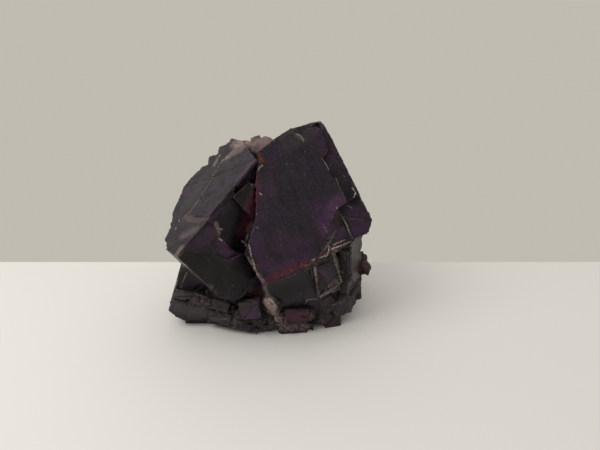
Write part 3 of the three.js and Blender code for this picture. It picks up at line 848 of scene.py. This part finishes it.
# %% Wear
ON_THE_TABLE = 0.05 * MM
EDGE_WEAR_MM = 0.45
KNOBS, KNOBS_MM = 0.9, 0.16
GRIT, GRIT_MM = 2.3, 0.07
CRUMBS, CRUMBS_MM, CRUMBS_FROM, CRUMBS_SHIFT = 1.3, 0.5, 0.05, Vector((7, 3, 5))
for vert, rock_here, edge_away in zip(skin.verts, is_rock, outer_mm):
    if vert.co.z < ON_THE_TABLE:
        continue
    place = vert.co / MM
    rough = noise.noise(place * KNOBS) * KNOBS_MM + noise.noise(place * GRIT) * GRIT_MM
    crumb = max(0.0, noise.noise(place * CRUMBS + CRUMBS_SHIFT) - CRUMBS_FROM) * CRUMBS_MM
    near = max(0.0, 1 - edge_away / EDGE_WEAR_MM)
    vert.co += vert.normal * MM * (rock_here * rough - near * crumb)
    vert.co.z = max(vert.co.z, LOWEST)
print("worn points:", int((outer_mm < EDGE_WEAR_MM).sum()))

# %% [markdown]
# ## Handing the skin back
# All that was worked out for the points goes into the mesh as named attributes, where the
# material can read it. The finished piece then takes the place of its CAD node.

# %% Back to a mesh
CREASE = radians(25)
cluster_mesh = cluster.data
skin.to_mesh(cluster_mesh)
skin.free()


def point_attribute(name, values):
    layer = cluster_mesh.attributes.new(name, "FLOAT", "POINT")
    layer.data.foreach_set("value", np.asarray(values, np.float32))


point_attribute("outer_mm", outer_mm)
point_attribute("inner_mm", inner_mm)
point_attribute("rock", is_rock)
for name, covered in paint.items():
    point_attribute(name, covered)
layer = cluster_mesh.attributes.new("growth", "FLOAT_VECTOR", "CORNER")
layer.data.foreach_set("vector", growth.ravel())
cluster_mesh.shade_smooth()
cluster_mesh.set_sharp_from_angle(angle=CREASE)
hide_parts("fluorite_cluster")
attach(cluster, "root")
print("finished piece:", len(cluster_mesh.polygons), "triangles, attributes:",
      [a.name for a in cluster_mesh.attributes if not a.name.startswith(".")])

# %% [markdown]
# ## A small kit for materials
# A material is a graph of nodes. A few short helpers keep the graph readable as text. Each
# makes one node, connects what it is given, and returns the output.

# %% Node helpers
material = bpy.data.materials.new("frosted_purple_fluorite")
material.use_nodes = True
graph = material.node_tree
shader = graph.nodes["Principled BSDF"]


def node(kind, inputs, output=0, **settings):
    made = graph.nodes.new("ShaderNode" + kind)
    for key, value in settings.items():
        setattr(made, key, value)
    for key, value in inputs.items():
        if isinstance(value, bpy.types.NodeSocket):
            graph.links.new(value, made.inputs[key])
        else:
            made.inputs[key].default_value = value
    return made.outputs[output]


def attribute(name, output="Fac"):
    return node("Attribute", {}, output, attribute_name=name)


def ramp(value, start, end, low=0.0, high=1.0):
    inputs = {"Value": value, "From Min": start, "From Max": end, "To Min": low, "To Max": high}
    return node("MapRange", inputs, interpolation_type="SMOOTHSTEP")


def maths(operation, first, second=0.0):
    return node("Math", {0: first, 1: second}, operation=operation)


def mixed(factor, first, second):
    return node("Mix", {0: factor, 6: first, 7: second}, 2, data_type="RGBA")


def stretched(vector, scale):
    return node("Mapping", {"Vector": vector, "Scale": scale})


def noisy(vector, scale, detail, rough=0.5):
    return node("TexNoise", {"Vector": vector, "Scale": scale, "Detail": detail,
                             "Roughness": rough}, "Fac")


def terraces(scale, randomness, channel):
    """Square blocks along the crystal's axes, each with one random value."""
    blocks = node("TexVoronoi", {"Vector": stretched(growth_mm, scale), "Scale": 1.0,
                                 "Randomness": randomness}, "Color", distance="CHEBYCHEV")
    return node("SeparateColor", {"Color": blocks}, channel)


print("material:", material.name)

# %% [markdown]
# ## Patterns
# Grain, clouds and crumbs lie in the cluster's millimetres, so they run on from crystal to
# crystal. Terraces, streaks, mottling and frosting lie in each crystal's own, so they turn
# with it.

# %% Patterns
millimetres = stretched(node("TexCoord", {}, "Object"), (1000, 1000, 1000))
growth_mm = attribute("growth", "Vector")
grain = noisy(millimetres, 3.2, 5.0, 0.65)
cloud = noisy(millimetres, 0.28, 3.0, 0.6)
crumbs = noisy(millimetres, 4.5, 4.0, 0.7)
block_height = terraces((0.75, 0.75, 0.32), 0.85, 0)
fine_height = terraces((2.6, 2.6, 1.2), 0.9, 1)
streaks = noisy(stretched(growth_mm, (2.4, 2.4, 0.16)), 1.0, 3.0)
mottle = noisy(stretched(growth_mm, (0.5, 0.5, 0.3)), 1.0, 4.0, 0.65)
frosting = noisy(growth_mm, 2.4, 3.0, 0.8)
# Painted glints: tiny bright dots scattered over the surface.
glint_cells = {"Vector": millimetres, "Scale": 1.15}
glint_pick = node("SeparateColor", {"Color": node("TexVoronoi", glint_cells, "Color")}, 0)
glint_mask = maths("MULTIPLY", ramp(node("TexVoronoi", glint_cells, "Distance"), 0.13, 0.07),
                   ramp(glint_pick, 0.62, 0.7))
print("pattern nodes:", len(graph.nodes))

# %% [markdown]
# ## Colour, one coat over another
# The body is nearly black, with a little purple in it. Over it go streaks, terraces, broken
# rock and the painted shade of the recesses, then the painted places, then a frosting that
# lightens and darkens what is there. Knocked edges with a painted highlight, painted glints,
# rust, chalk with painted highlights, and painted shade along the creases come last.

# %% Colour
BODY_DARK, BODY_LIGHT = (0.0140, 0.0105, 0.0150, 1), (0.024, 0.0165, 0.026, 1)
STREAK, TERRACE = (0.036, 0.029, 0.037, 1), (0.040, 0.033, 0.042, 1)
ROCK, SHADE_AND_DARK_TONE = (0.046, 0.030, 0.030, 1), (0.0040, 0.0025, 0.003, 1)
PURPLE_GLOW_AND_TINT, WINE = (0.070, 0.024, 0.070, 1), (0.085, 0.017, 0.032, 1)
FROST_AND_PAINTED_LIGHT, MILKY = (0.072, 0.062, 0.054, 1), (0.28, 0.20, 0.185, 1)
WORN_AND_HIGHLIGHT, PAINTED_GLINT = (0.18, 0.135, 0.13, 1), (0.4, 0.37, 0.37, 1)
RUST_DARK, RUST_LIGHT = (0.070, 0.013, 0.010, 1), (0.24, 0.085, 0.028, 1)
CHALK_AND_HIGHLIGHT_DARK, CHALK_AND_HIGHLIGHT_LIGHT = (0.30, 0.24, 0.175, 1), (0.45, 0.40, 0.39, 1)
PAINTED_CREASE_SHADE = (0.006, 0.004, 0.005, 1)
CRUMBLE = 2.6


def broken(mask):
    """A painted place, broken up into crumbs and streaks."""
    ragged = maths("ADD", mask, maths("MULTIPLY", maths("SUBTRACT", crumbs, 0.5), CRUMBLE))
    return maths("MULTIPLY", ramp(ragged, 0.55, 0.95), ramp(mask, 0.05, 0.3))


def cloudy(mask, thinnest, thickest):
    """A painted place with soft, uneven depth."""
    ragged = maths("ADD", mask, maths("MULTIPLY", maths("SUBTRACT", grain, 0.5), 0.5))
    soft = maths("MULTIPLY", ramp(ragged, 0.0, 1.0), ramp(mask, 0.0, 0.3))
    return maths("MULTIPLY", soft, ramp(cloud, 0.3, 0.65, thinnest, thickest))


rock = attribute("rock")
# deep is painted shade in the recesses and under overhangs, and darker patches on the back.
deep = attribute("deep")
body = mixed(ramp(mottle, 0.35, 0.65), BODY_DARK, BODY_LIGHT)
body = mixed(maths("MULTIPLY", ramp(streaks, 0.45, 0.75), 0.35), body, STREAK)
body = mixed(maths("MULTIPLY", ramp(fine_height, 0.55, 1.0), 0.3), body, TERRACE)
body = mixed(maths("MULTIPLY", rock, ramp(grain, 0.4, 0.7, 0.3, 0.9)), body, ROCK)
body = mixed(maths("MULTIPLY", deep, 0.9), body, SHADE_AND_DARK_TONE)
# Painted glow of light through thin crystal, and on the back, patches of purple tint.
glow = maths("MULTIPLY", cloudy(attribute("purple"), 0.45, 1.0),
             maths("SUBTRACT", 1.0, maths("MULTIPLY", deep, 0.45)))
body = mixed(glow, body, PURPLE_GLOW_AND_TINT)
body = mixed(cloudy(attribute("wine"), 0.45, 0.95), body, WINE)
# Frost, with painted light on the faces that catch it: a pale grey over the body.
body = mixed(cloudy(attribute("frost_and_painted_light"), 0.45, 0.95), body, FROST_AND_PAINTED_LIGHT)
body = mixed(cloudy(attribute("milky"), 0.45, 1.0), body, MILKY)
body = mixed(maths("MULTIPLY", ramp(frosting, 0.5, 0.72), 0.5), body,
             node("Gamma", {"Color": body, "Gamma": 0.72}))
body = mixed(maths("MULTIPLY", ramp(frosting, 0.5, 0.3), 0.35), body,
             node("Gamma", {"Color": body, "Gamma": 1.3}))
# Worn edges with a painted highlight: a pale line along the outer edges.
wear_and_highlight_width = ramp(grain, 0.4, 0.7, 0.02, 0.3)
edge_wear_and_highlight = maths("SUBTRACT", 1.0, ramp(maths("DIVIDE", attribute("outer_mm"), wear_and_highlight_width), 0.4, 1.0))
edge_wear_and_highlight = maths("MULTIPLY", edge_wear_and_highlight, ramp(cloud, 0.38, 0.62, 0.12, 0.7))
edge_wear_and_highlight = maths("MULTIPLY", edge_wear_and_highlight, ramp(crumbs, 0.35, 0.6))
body = mixed(edge_wear_and_highlight, body, WORN_AND_HIGHLIGHT)
# Painted glints.
body = mixed(maths("MULTIPLY", glint_mask, ramp(crumbs, 0.4, 0.7, 0.2, 0.8)), body, PAINTED_GLINT)
rust_mask = broken(attribute("rust"))
body = mixed(rust_mask, body, mixed(ramp(grain, 0.45, 0.68), RUST_DARK, RUST_LIGHT))
# Chalky chips, and painted highlight lines along some edges and the ridge on the left crystal.
chalk_and_highlight_mask = broken(attribute("pale"))
body = mixed(chalk_and_highlight_mask, body, mixed(ramp(cloud, 0.4, 0.6), CHALK_AND_HIGHLIGHT_DARK, CHALK_AND_HIGHLIGHT_LIGHT))
# Painted shade: darker towards the inner edges, where the crystals meet.
body = mixed(ramp(attribute("inner_mm"), 0.4, 0.0, 0.0, 0.55), body, PAINTED_CREASE_SHADE)
graph.links.new(body, shader.inputs["Base Color"])
print("nodes with the colour:", len(graph.nodes))

# %% [markdown]
# ## Gloss and relief
# Fluorite bends light little, so it shines less than glass. The terraces differ a little in
# gloss, the places with painted shade are the smoothest, and rust, chalk with its painted
# highlights, and rock are dull. The same patterns give a relief of a few hundredths of a
# millimetre.

# %% Gloss and relief
shader.inputs["IOR"].default_value = 1.434
shader.inputs["Specular IOR Level"].default_value = 0.36
roughness = ramp(block_height, 0.0, 1.0, 0.3, 0.48)
roughness = maths("ADD", roughness, maths("MULTIPLY", grain, 0.12))
roughness = maths("SUBTRACT", roughness, maths("MULTIPLY", deep, 0.1))
for mask, dullness in ((rust_mask, 0.8), (chalk_and_highlight_mask, 0.55), (rock, 0.5)):
    roughness = maths("MAXIMUM", roughness, maths("MULTIPLY", mask, dullness))
graph.links.new(roughness, shader.inputs["Roughness"])
relief = maths("MULTIPLY", block_height, 0.45)
for pattern, share in ((fine_height, 0.3), (grain, 1.0), (streaks, 0.5), (mottle, 1.5)):
    relief = maths("ADD", relief, maths("MULTIPLY", pattern, share))
bumped = node("Bump", {"Strength": 1.0, "Distance": 0.04 * MM, "Height": relief})
graph.links.new(bumped, shader.inputs["Normal"])
cluster_mesh.materials.clear()
cluster_mesh.materials.append(material)
print("material nodes:", len(graph.nodes))

# %% [markdown]
# ## The paper
# The cluster stands on a sheet of pale paper that ends just behind it.

# %% Paper
PAPER_REACH = 1.0
PAPER_END = 18.95 * MM
floor_mesh = bpy.data.meshes.new("floor")
sheet = bmesh.new()
bmesh.ops.create_grid(sheet, x_segments=1, y_segments=1, size=PAPER_REACH)
for vert in sheet.verts:
    vert.co.y = vert.co.y * 0.5 - 0.5 * PAPER_REACH + PAPER_END
sheet.to_mesh(floor_mesh)
sheet.free()
floor = bpy.data.objects.new("floor", floor_mesh)
bpy.context.scene.collection.objects.link(floor)
paper = bpy.data.materials.new("pale_paper")
paper.use_nodes = True
paper_shader = paper.node_tree.nodes["Principled BSDF"]
paper_shader.inputs["Base Color"].default_value = (0.85, 0.84, 0.79, 1)
paper_shader.inputs["Roughness"].default_value = 0.8
floor_mesh.materials.append(paper)
print("paper ends at y, mm:", round(PAPER_END / MM, 2))

# %% [markdown]
# ## The room
# The light of the room comes from all round: a pale wall behind the cluster, a dark room
# behind the camera, a bright ceiling, and less of it all from the front right. The node
# helpers draw in whatever graph is current, so the room's graph takes the material's place.

# %% Room
WALL_NEAR, WALL_FAR = (0.14, 0.13, 0.12, 1), (0.53, 0.50, 0.44, 1)
CEILING = (0.98, 0.94, 0.92, 1)
DIM_SIDE, DIMMEST = (0.7, -0.7, 0.0), 0.35
world = bpy.data.worlds.new("room")
bpy.context.scene.world = world
world.use_nodes = True
graph = world.node_tree
direction = node("TexCoord", {}, "Generated")
depth = node("SeparateXYZ", {0: direction}, "Y")
height = node("SeparateXYZ", {0: direction}, "Z")
wall = mixed(node("MapRange", {"Value": depth, "From Min": -0.6, "From Max": 0.5}),
             WALL_NEAR, WALL_FAR)
surroundings = mixed(node("MapRange", {"Value": height, "From Min": 0.0, "From Max": 0.9}),
                     wall, CEILING)
side = node("VectorMath", {0: direction, 1: DIM_SIDE}, "Value", operation="DOT_PRODUCT")
strength = node("MapRange", {"Value": side, "From Min": -0.2, "From Max": 0.9,
                             "To Min": 1.0, "To Max": DIMMEST})
background = graph.nodes["Background"]
graph.links.new(surroundings, background.inputs["Color"])
graph.links.new(strength, background.inputs["Strength"])
print("room nodes:", len(graph.nodes))

# %% [markdown]
# ## The window
# One round light, as wide as a hand is long, stands high at the left and throws the soft
# shadow to the right.

# %% Window light
window_data = bpy.data.lights.new("window_light", "AREA")
window_data.shape = "DISK"
window_data.size = 0.16
window_data.energy = 0.19
window = bpy.data.objects.new("window_light", window_data)
window.location = (-0.14, -0.06, 0.2)
aim = Vector((0, 0, 0.02)) - window.location
window.rotation_euler = aim.to_track_quat("-Z", "Y").to_euler()
bpy.context.scene.collection.objects.link(window)
print("window light at, mm:", [round(c / MM) for c in window.location])
